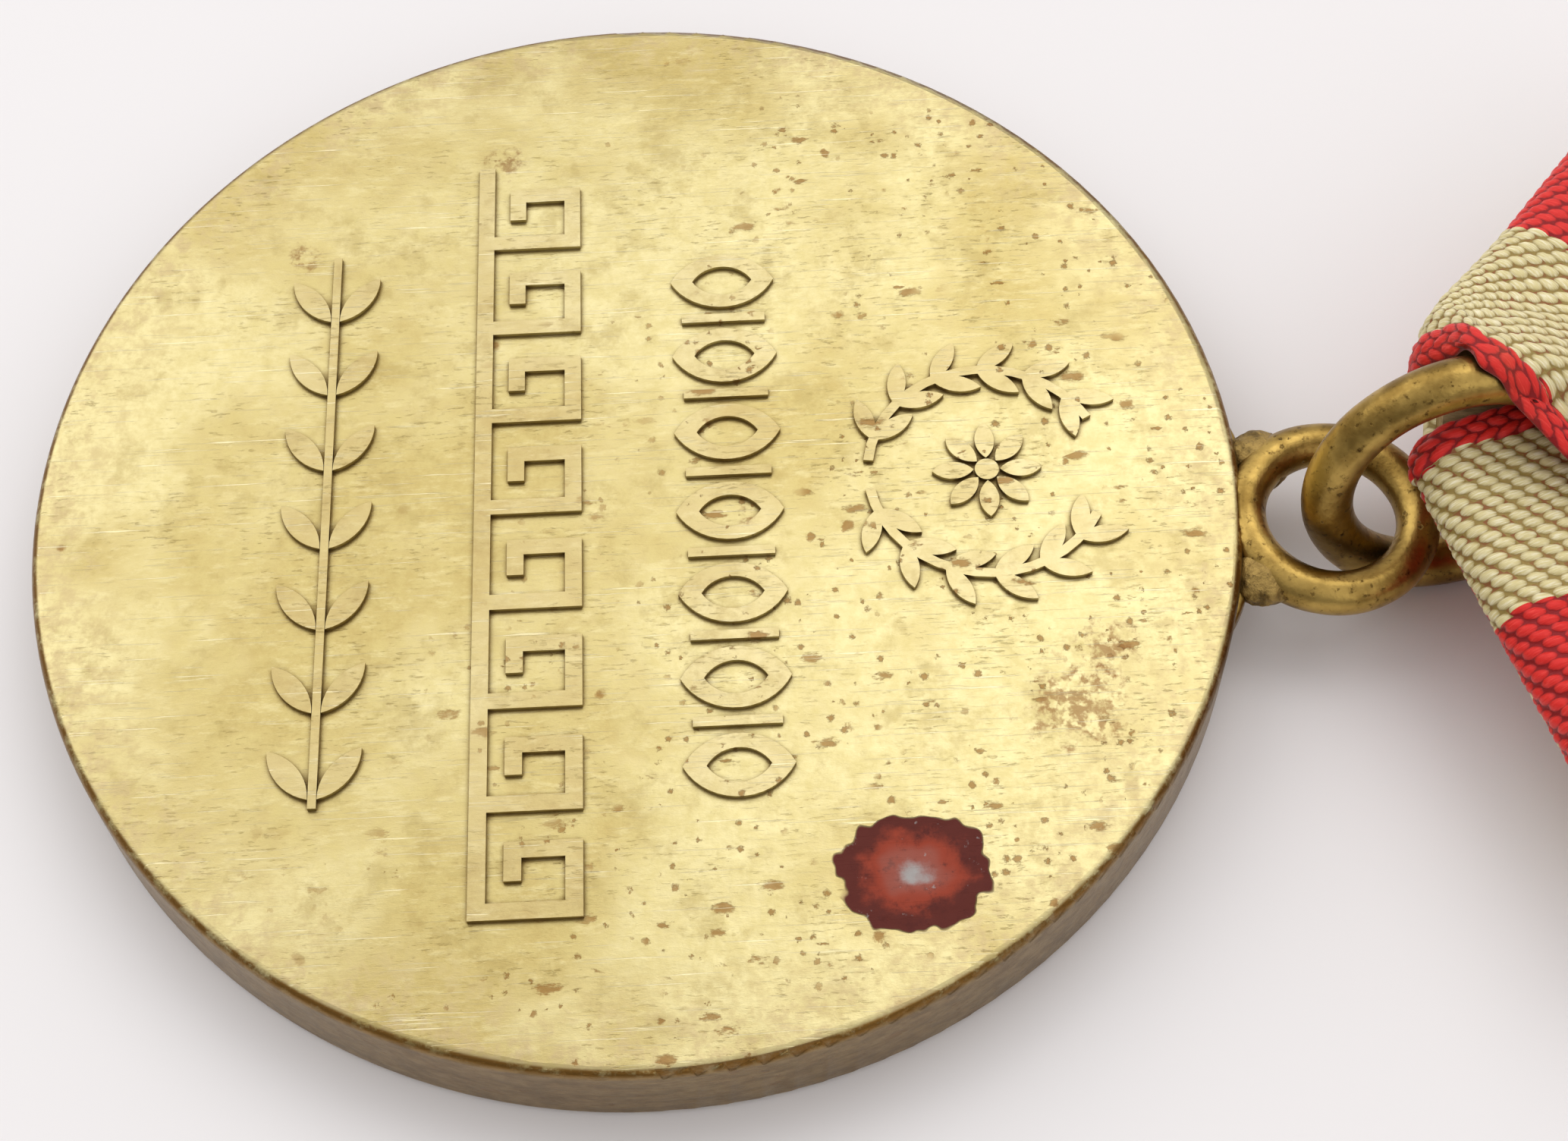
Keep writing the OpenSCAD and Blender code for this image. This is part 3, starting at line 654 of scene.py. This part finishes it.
def edgeCord(s):  # the thick corded selvedges: height from 0 to 1
    half = weave["edge"] / 2
    near = np.minimum(s, weave["width"] - s)
    return np.sqrt(np.clip(1 - ((near - half) / (half * 1.04)) ** 2, 0, 1))


def softMax(a, b, width):
    h = np.clip(0.5 + 0.5 * (a - b) / width, 0, 1)
    return b * (1 - h) + a * h + width * h * (1 - h)


def step(value, low, high):
    t = np.clip((value - low) / (high - low), 0, 1)
    return t * t * (3 - 2 * t)


def ringCentreline():
    s = ringSpec
    a, b = math.radians(s["yaw"]), math.radians(s["tilt"])
    u = np.array([math.cos(a), math.sin(a), 0])
    v = np.array([-math.sin(a) * math.cos(b), math.cos(a) * math.cos(b), math.sin(b)])
    turns = np.linspace(0, math.pi, 91)
    world = np.array(s["centre"]) + s["radius"] * (np.cos(turns)[:, None] * u + np.sin(turns)[:, None] * v)
    local = (world - np.array(mountSpec["place"])) @ turnRows
    return local[(local[:, 2] > 0.0) & (local[:, 0] > -1.6)]


ringPath = ringCentreline()
tent = {"rise": 0.92, "slope": 0.62, "crown": 0.25, "crownSlope": 0.25}


def tentOver(x, y):  # height of cloth thrown over the ring's upper arch
    best = np.full(x.shape, -9.0)
    for px, py, pz in ringPath:
        away = np.hypot(x - px, y - py)
        best = np.maximum(best, pz + tent["rise"] - tent["slope"] * np.maximum(away - tent["crown"], 0)
                          - tent["crownSlope"] * np.minimum(away, tent["crown"]))
    return best


def ringTop(x, y):  # top of the ring's own wire, with a hair of clearance
    best = np.full(x.shape, -9.0)
    reach = ringSpec["wire"] + 0.12
    for px, py, pz in ringPath:
        away2 = (x - px) ** 2 + (y - py) ** 2
        top = pz + np.sqrt(np.clip(reach**2 - away2, 0, None))
        best = np.where(away2 < reach**2, np.maximum(best, top), best)
    return best


def smoothCurve(knots, at):  # cubic through knots (parameter, x, y, z)
    knots = np.array(knots, float)
    p, q = knots[:, 0], knots[:, 1:]
    slope = np.gradient(q, p, axis=0)
    i = np.clip(np.searchsorted(p, at) - 1, 0, len(p) - 2)
    h = (p[i + 1] - p[i])[:, None]
    f = ((at - p[i])[:, None]) / h
    return ((2 * f**3 - 3 * f**2 + 1) * q[i] + (f**3 - 2 * f**2 + f) * h * slope[i]
            + (-2 * f**3 + 3 * f**2) * q[i + 1] + (f**3 - f**2) * h * slope[i + 1])


# selvedge of the upper wrap: from the fold, up beside the ring, over it and down
overRing = [
    (-3.0, 0.3, 0.9, -0.75), (-1.0, -0.85, 0.75, -0.6), (0.0, -1.12, 0.66, 0.35),
    (0.8, -1.12, 0.52, 1.1), (1.6, -0.9, 0.32, 1.75),
    (2.3, -0.66, 0.08, 2.45), (2.9, -0.52, -0.3, 2.98), (3.45, -0.33, -0.72, 3.2), (4.05, 0.18, -0.92, 3.08),
    (4.7, 0.57, -1.24, 2.78), (5.5, 1.25, -1.62, 2.45), (6.4, 2.0, -2.05, 2.1), (7.5, 2.95, -2.6, 1.72),
    (9.0, 4.3, -3.3, 1.45)]


def wrapSurface(s, t, spec):
    # ribbon point s mm from its selvedge and t mm along from the fold's crest, on the mount
    side = spec["side"]
    a = math.radians(mountSpec["slope"])
    e = np.array([math.cos(a), side * math.sin(a)])
    n = np.array([math.sin(a), -side * math.cos(a)])
    u = s + spec["start"]
    crest = np.maximum(0, -math.cos(a) / math.sin(a) * u)
    crest = np.where(u < 0.6, softMax(crest, 0 * crest, 0.25), 0 * crest)
    rolled = spec["roll"]
    quarter = math.pi / 2 * rolled
    angle = np.clip(t / rolled, -math.pi / 2, math.pi / 2)
    past = np.maximum(np.abs(t) - quarter, 0)
    inward = rolled * (1 - np.cos(angle)) + past
    x = mountSpec["tipX"] + e[0] * u + n[0] * (crest + inward)
    y = side * mountSpec["tipHalf"] + e[1] * u + n[1] * (crest + inward)
    z = spec["middle"] + rolled * np.sin(angle)
    return x, y, z


def sideTurn(x, y, z):  # the ribbon turns down over the mount's long sides
    r = mountSpec["sideRoll"]
    limit = mountSpec["half"] - r
    over = np.maximum(np.abs(y) - limit, 0)
    angle = np.minimum(over / r, math.pi / 2)
    rest = np.maximum(over - r * math.pi / 2, 0)
    y2 = np.sign(y) * (np.minimum(np.abs(y), limit) + r * np.sin(angle))
    z2 = z - r * (1 - np.cos(angle)) - rest
    return x, y2, z2


def clothNormals(points):
    du = np.gradient(points, axis=1)
    dv = np.gradient(points, axis=0)
    n = np.cross(du, dv)
    return n / np.maximum(np.linalg.norm(n, axis=-1, keepdims=True), 1e-12)


def fineThenCoarse(start, end, fine, fineFrom, fineTo, coarse):
    # positions along the ribbon, close together where it is seen near
    values = [start]
    while values[-1] < end:
        v = values[-1]
        near = step(np.array(v), fineFrom - 1.5, fineFrom) * (1 - step(np.array(v), fineTo, fineTo + 3.0))
        values.append(v + coarse + (fine - coarse) * float(near))
    values[-1] = end
    return np.array(values)


def clothObject(name, points, s, t, keep, replaced):
    # grid of points to a ribbon piece, with its own millimetre map
    rows, columns = points.shape[:2]
    bm = bmesh.new()
    bmesh.ops.create_grid(bm, x_segments=columns - 1, y_segments=rows - 1, size=0.5)
    bm.verts.ensure_lookup_table()
    row = np.array([round((v.co.y + 0.5) * (rows - 1)) for v in bm.verts])
    column = np.array([round((v.co.x + 0.5) * (columns - 1)) for v in bm.verts])
    world = fromMount(points[row, column])
    for v, p in zip(bm.verts, world):
        v.co = p
    uv = bm.loops.layers.uv.new("ribbon")
    sHere, tHere, kept = s[row, column], t[row, column], keep[row, column]
    gone = [f for f in bm.faces if not all(kept[v.index] for v in f.verts)]
    for face in bm.faces:
        for loop in face.loops:
            i = loop.vert.index
            loop[uv].uv = (sHere[i] * 0.01, tHere[i] * 0.01)
    bmesh.ops.delete(bm, geom=gone, context="FACES")
    loose = [v for v in bm.verts if not v.link_faces]
    bmesh.ops.delete(bm, geom=loose, context="VERTS")
    piece = meshObject(name, bm, ribbonCloth, "mount", replaced)
    return piece


# the light tones are painted highlights on the knuckle crowns; the dark tones are painted shade between the
# knuckles, the dark olive also slow wear
ribbonLook = {"olive": "#E0D298", "oliveHighlight": "#FBF3D2", "oliveShadeAndWear": "#9C8546", "oliveValley": "#8C3A24",
              "red": "#E0261F", "redHighlight": "#F64A40", "redValleyShade": "#8E070D"}
weaveSums = [  # name, operation, operands: the lattice that knuckles() gives the shape
    ("s", "MULTIPLY", "across", 100.0),
    ("t", "MULTIPLY", "along", 100.0),
    ("column", "DIVIDE", "s", weave["across"]),
    ("column", "FLOOR", "column"),
    ("middle", "ADD", "column", 0.5),
    ("middle", "MULTIPLY", "middle", weave["across"]),
    ("ds", "SUBTRACT", "s", "middle"),
    ("odd", "FLOORED_MODULO", "column", 2.0),
    ("far", "SUBTRACT", weave["width"], "s"),
    ("near", "MINIMUM", "s", "far"),
    ("onEdge", "LESS_THAN", "near", weave["edge"]),
    ("inBody", "SUBTRACT", 1.0, "onEdge"),
    ("braid", "MULTIPLY_ADD", "odd", -2 * weave["edgeLean"], weave["edgeLean"]),
    ("braid", "MULTIPLY", "onEdge", "braid"),
    ("lean", "MULTIPLY_ADD", "inBody", weave["lean"], "braid"),
    ("shifted", "MULTIPLY_ADD", "lean", "ds", "t"),
    ("twill", "MULTIPLY", "column", -weave["twill"]),
    ("half", "MULTIPLY", "odd", "onEdge"),
    ("half", "MULTIPLY", "half", 0.5),
    ("stagger", "MULTIPLY_ADD", "inBody", "twill", "half"),
    ("place", "DIVIDE", "shifted", weave["along"]),
    ("place", "ADD", "stagger", "place"),
    ("row", "FLOOR", "place"),
    ("dt", "FRACT", "place"),
    ("dt", "SUBTRACT", "dt", 0.5),
    ("dt", "MULTIPLY", "dt", weave["along"]),
    ("ovalS", "DIVIDE", "ds", weave["ovalAcross"]),
    ("ovalS", "POWER", "ovalS", 2.0),
    ("ovalT", "DIVIDE", "dt", weave["ovalAlong"]),
    ("ovalT", "POWER", "ovalT", 2.0),
    ("oval", "ADD", "ovalS", "ovalT"),
    ("fineS", "MULTIPLY", "s", 26.0),
    ("fineT", "MULTIPLY", "t", 2.6),
]


def wovenRibbon():
    # rayon service ribbon: satin warp knuckles over a red weft, with corded selvedges
    look = ribbonLook
    material, tree, shader = newMaterial("Rayon ribbon, rib weave")
    across, along, _ = addNode(tree, "SeparateXYZ", {0: addNode(tree, "UVMap", uv_map="ribbon")}).node.outputs
    sums = {"across": across, "along": along}
    for name, operation, *operands in weaveSums:
        operands = [sums.get(value, value) for value in operands]
        sums[name] = addNode(tree, "Math", dict(enumerate(operands)), operation=operation)
    inside = addNode(tree, "Math", {0: 1.0, 1: sums["oval"]}, operation="SUBTRACT", use_clamp=True)
    crown = addNode(tree, "Math", {0: inside}, operation="SQRT")
    cell = addNode(tree, "CombineXYZ", {0: sums["column"], 1: sums["row"]})
    chance = addNode(tree, "TexWhiteNoise", {"Vector": cell}, noise_dimensions="2D")

    # which stripe it is, with edges a thread soft
    jitter = addNode(tree, "Math", {0: chance, 1: 0.16, 2: -0.08}, operation="MULTIPLY_ADD")
    jitter = addNode(tree, "Math", {0: sums["s"], 1: jitter}, operation="ADD")
    olive = 0.0
    for left, right in zip(stripeEdges[0::2], stripeEdges[1::2]):
        after = addNode(tree, "Math", {0: jitter, 1: left}, operation="GREATER_THAN")
        before = addNode(tree, "Math", {0: jitter, 1: right}, operation="LESS_THAN")
        stripe = addNode(tree, "Math", {0: after, 1: before}, operation="MULTIPLY")
        olive = addNode(tree, "Math", {0: olive, 1: stripe}, operation="MAXIMUM")

    # single threads inside each knuckle with a painted sheen on their crowns, painted shade between the
    # knuckles, red weft showing in some valleys, and slow wear
    threads = addNode(tree, "CombineXYZ", {0: sums["fineS"], 1: sums["fineT"]})
    threads = addNode(tree, "TexNoise", {"Vector": threads, "Scale": 1.0, "Detail": 3.0, "Roughness": 0.5})
    slow = addNode(tree, "CombineXYZ", {0: sums["s"], 1: sums["t"]})
    slow = addNode(tree, "TexNoise", {"Vector": slow, "Scale": 0.35, "Detail": 3.0, "Roughness": 0.5})
    paintedSheen = {}
    # painted highlight: the knuckle crowns are lightened where single threads catch the light
    for stripe, low, high in (("olive", 0.42, 0.7), ("red", 0.48, 0.75)):
        threadSheen = addNode(tree, "MapRange", {0: threads, 1: low, 2: high}, **soft)
        paintedSheen[stripe] = addNode(tree, "Math", {0: threadSheen, 1: crown}, operation="MULTIPLY")
    valley = addNode(tree, "MapRange", {0: crown, 1: 0.3, 2: 0.0}, **soft)
    some = addNode(tree, "MapRange", {0: chance, 1: 0.5, 2: 0.9}, **soft)
    valley = addNode(tree, "Math", {0: valley, 1: some}, operation="MULTIPLY")
    # painted shade: the olive darkens between the knuckle crowns
    oliveTone = coat(tree, look["oliveShadeAndWear"], look["olive"], crown, 1.0, (0.1, 0.95))
    lit = {0: paintedSheen["olive"], 6: oliveTone, 7: look["oliveHighlight"]}
    oliveTone = addNode(tree, "Mix", lit, data_type="RGBA")
    oliveTone = coat(tree, oliveTone, look["oliveValley"], valley, 0.65)
    # painted shade: the red darkens between the knuckle crowns
    redTone = coat(tree, look["redValleyShade"], look["red"], crown, 1.0, (0.05, 0.85))
    lit = {0: paintedSheen["red"], 6: redTone, 7: look["redHighlight"]}
    redTone = addNode(tree, "Mix", lit, data_type="RGBA")
    tone = addNode(tree, "Mix", {0: olive, 6: redTone, 7: oliveTone}, data_type="RGBA")
    # slow wear, in the same dark olive that serves as painted shade
    tone = coat(tree, tone, look["oliveShadeAndWear"], slow, 0.2, (0.5, 0.8))
    tree.links.new(tone, shader.inputs["Base Color"])
    gloss = addNode(tree, "Math", {0: threads, 1: 0.25, 2: 0.4}, operation="MULTIPLY_ADD")
    tree.links.new(gloss, shader.inputs["Roughness"])
    shader.inputs["Specular IOR Level"].default_value = 0.35
    shader.inputs["Sheen Weight"].default_value = 0.15
    shader.inputs["Sheen Roughness"].default_value = 0.4
    height = addNode(tree, "Math", {0: crown, 1: 0.07}, operation="MULTIPLY")
    height = addNode(tree, "Math", {0: threads, 1: 0.03, 2: height}, operation="MULTIPLY_ADD")
    addRelief(tree, shader, height, 0.55)
    return material


ribbonCloth = wovenRibbon()

lowerWrap = {"name": "lowerWrap", "node": "right_wrap",
             "side": -1, "start": -0.87, "roll": 0.84, "middle": 0.06}
upperWrap = {"name": "upperWrap", "node": "left_wrap",
             "side": 1, "start": -1.4, "roll": 1.06, "middle": 0.3}


lipSpec = {"under": 0.34, "steps": (1.0, 0.8, 0.6, 0.4, 0.2), "sink": 0.3, "back": 0.156}
wrapGrid = {"across": 0.088, "lastButOne": 23.92, "from": -4.2, "to": 35.0, "fine": 0.095, "coarse": 0.26,
            "fineFrom": -1.2, "fineTo": 8.0}
wrapCut = {"from": -3.6, "over": 0.05, "lowest": -1.35, "beyondSides": 0.6, "slotHalf": 0.85, "slotFrom": 3.0,
           "calm": (9, 12), "calmBy": 0.35}
lift = {"from": -3.0, "to": 9.0, "fade": (8.5, 16), "pull": (1.1, 6.0), "follow": (0.5, 1.7),
        "tented": (-0.2, 2.4), "tentBlend": 0.35, "clearFrom": 1.0, "clearBlend": 0.08}


def overTheRing(x, y, z, s, t, tList, spec):  # the selvedge takes its own path and the cloth beside it follows
    path = smoothCurve(overRing, np.clip(tList, lift["from"], lift["to"]))
    home = np.stack(wrapSurface(np.zeros_like(tList), tList, spec), -1)
    last = np.searchsorted(tList, lift["to"]) - 1
    shift = path - home
    shift[last:] = shift[last]
    shift *= (1 - step(tList, *lift["fade"]))[:, None]
    pull = 1 - step(s, *lift["pull"])
    x = x + shift[:, None, 0] * pull
    y = y + shift[:, None, 1] * pull
    follow = 1 - step(s, *lift["follow"])
    own = z + shift[:, None, 2]
    tented = z + (softMax(tentOver(x, y), z, lift["tentBlend"]) - z) * step(t, *lift["tented"])
    z = tented * (1 - follow) + own * follow
    return x, y, np.where(t > lift["clearFrom"], softMax(z, ringTop(x, y), lift["clearBlend"]), z)


def makeWrap(spec, lifted):
    grid, cut, lip = wrapGrid, wrapCut, lipSpec
    body = np.arange(0, grid["lastButOne"], grid["across"])
    sList = np.concatenate([[-lip["under"] * k for k in lip["steps"]], body, [weave["width"]]])
    tList = fineThenCoarse(*(grid[k] for k in ("from", "to", "fine", "fineFrom", "fineTo", "coarse")))
    s, t = np.meshgrid(sList, tList)
    flatS = np.maximum(s, 0)
    x, y, z = wrapSurface(flatS, t, spec)
    if lifted:
        x, y, z = overTheRing(x, y, z, flatS, t, tList, spec)
    x, y, z = sideTurn(x, y, z)
    points = np.stack([x, y, z], -1)
    n = clothNormals(points)
    n = n if n[len(tList) // 2, 100, 2] > 0 else -n
    crown = knuckles(flatS, t)
    calm = 1 - wrapCut["calmBy"] * step(t, *wrapCut["calm"])
    rise = weave["height"] * crown * calm + weave["edgeRise"] * edgeCord(flatS)
    under = np.clip(-s / lip["under"], 0, 1) * math.pi / 2
    across = np.gradient(points, axis=1)
    across = across / np.maximum(np.linalg.norm(across, axis=-1, keepdims=True), 1e-9)
    points = points + n * (rise * (s >= 0) - lip["sink"] * np.sin(under))[..., None]
    points = points + across * (lip["back"] * (1 - np.cos(under)))[..., None]
    keep = (x <= mountSpec["wrapEnd"] + cut["over"]) & (z > cut["lowest"]) & (t > cut["from"])
    keep &= np.abs(y) < mountSpec["half"] + cut["beyondSides"]
    if not lifted:
        keep &= ~slotHole(x, y, cut["slotHalf"], cut["slotFrom"])
    return clothObject(spec["name"], points, flatS, t, keep, [spec["node"]])


slotSpec = {"turn": 18.2, "y": -1.1, "end": 3.3}


def slotHole(x, y, wide=1.2, start=2.45):  # where the ring passes through the mount
    a = math.radians(slotSpec["turn"])
    y = y - slotSpec["y"]
    along = x * math.cos(a) + y * math.sin(a)
    off = -x * math.sin(a) + y * math.cos(a)
    nearest = np.clip(along, start, slotSpec["end"])
    return np.hypot(along - nearest, off) < wide


makeWrap(lowerWrap, False)
makeWrap(upperWrap, True)
print("wraps")


frontSpec = {"across": 0.155, "along": 0.2, "under": 1.6, "tail": 15.2, "extra": 1.4, "roll": 0.93, "gap": 0.22,
             "fold": 0.36, "hem": 1.0, "frontEnd": 12, "tailFrom": 31, "knuckle": 0.018, "cord": 0.054}


def makeFront():
    spec = frontSpec
    width, tipX = weave["width"], mountSpec["tipX"]
    sList = np.linspace(0, width, int(width / spec["across"]) + 1)
    length = mountSpec["length"] - tipX
    tList = np.arange(-spec["under"], length + spec["tail"] + spec["extra"], spec["along"])
    s, t = np.meshgrid(sList, tList)
    y = s - width / 2
    # the far end rolls up and over to the back
    roll = spec["roll"]
    straight = length - roll
    over = np.maximum(t - straight, 0)
    angle = np.minimum(over / roll, math.pi)
    rest = np.maximum(over - roll * math.pi, 0)
    x = tipX + np.minimum(t, straight) + roll * np.sin(angle) - rest
    z = -roll + roll * (1 - np.cos(angle))
    # tip and slopes turn up and in
    a = math.radians(mountSpec["slope"])
    toTip = x - tipX - spec["gap"]
    toSlope = toTip * math.sin(a) - (np.abs(y) - mountSpec["tipHalf"]) * math.cos(a)
    onSlope = toSlope < toTip
    fold = spec["fold"]
    reach = fold - np.minimum(toSlope, toTip)
    bend = np.clip(reach / fold, 0, math.pi)
    more = np.maximum(reach - fold * math.pi, 0)
    moved = np.where(reach > 0, reach - fold * np.sin(bend) + more, 0)
    isFront = t < spec["frontEnd"]
    dirX = np.where(onSlope, math.sin(a), 1.0)
    dirY = np.where(onSlope, -np.sign(y) * math.cos(a), 0.0)
    x = np.where(isFront, x + dirX * moved, x)
    y = np.where(isFront, y + dirY * moved, y)
    z = np.where(isFront & (reach > 0), z + fold * (1 - np.cos(bend)), z)
    points = np.stack([x, y, z], -1)
    n = clothNormals(points)
    middle = n[np.searchsorted(tList, 20), 60]  # a place where the ribbon lies flat
    n = n * (-1 if middle[2] > 0 else 1)
    points = points + n * (spec["knuckle"] * knuckles(s, t) + spec["cord"] * edgeCord(s))[..., None]
    keep = ~(isFront & (reach > fold * math.pi + spec["hem"])) & ((t < straight) | (x > spec["tailFrom"]))
    keep &= ~slotHole(x, y)
    return clothObject("frontRibbon", points, s, t, keep, ["front_ribbon"])


makeFront()
print("front ribbon")


def bevelledCopy(name, node, material, body, width=0.06):
    # a CAD node's shape with its edges broken, as pressed and filed metal has
    bm = bmesh.new()
    bm.from_mesh(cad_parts[node].data)
    bmesh.ops.remove_doubles(bm, verts=bm.verts, dist=0.001 * mm)
    bmesh.ops.dissolve_limit(bm, angle_limit=math.radians(0.6), verts=bm.verts, edges=bm.edges)
    sharp = [e for e in bm.edges if len(e.link_faces) == 2 and e.calc_face_angle(0) > math.radians(40)]
    bmesh.ops.bevel(bm, geom=sharp, offset=width * mm, offset_type="OFFSET", segments=3, profile=0.5,
                    affect="EDGES", clamp_overlap=True, material=-1)
    bmesh.ops.triangulate(bm, faces=[f for f in bm.faces if len(f.verts) > 4])
    piece = meshObject(name, bm, material, body, [node])
    bevelShading(piece, 32)
    return piece


def paintNode(node, material):
    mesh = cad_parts[node].data
    mesh.materials.clear()
    mesh.materials.append(material)


paintNode("base_plate", plateBrass)
paintNode("stiffening_card", board)
bevelledCopy("backPlate", "back_plate", nickelled, "mount", 0.08)
bevelledCopy("plateRivets", "plate_rivets", plateBrass, "mount", 0.05)
bevelledCopy("pinStud", "pin_stud", nickelled, "mount", 0.07)
bevelledCopy("pinNeedle", "pin_needle", springWire, "pin", 0.03)
bevelledCopy("pinCatch", "pin_catch", nickelled, "mount", 0.06)
bevelledCopy("stitching", "stitching", sewingThread, "mount", 0.05)
print("plate, card and pin")
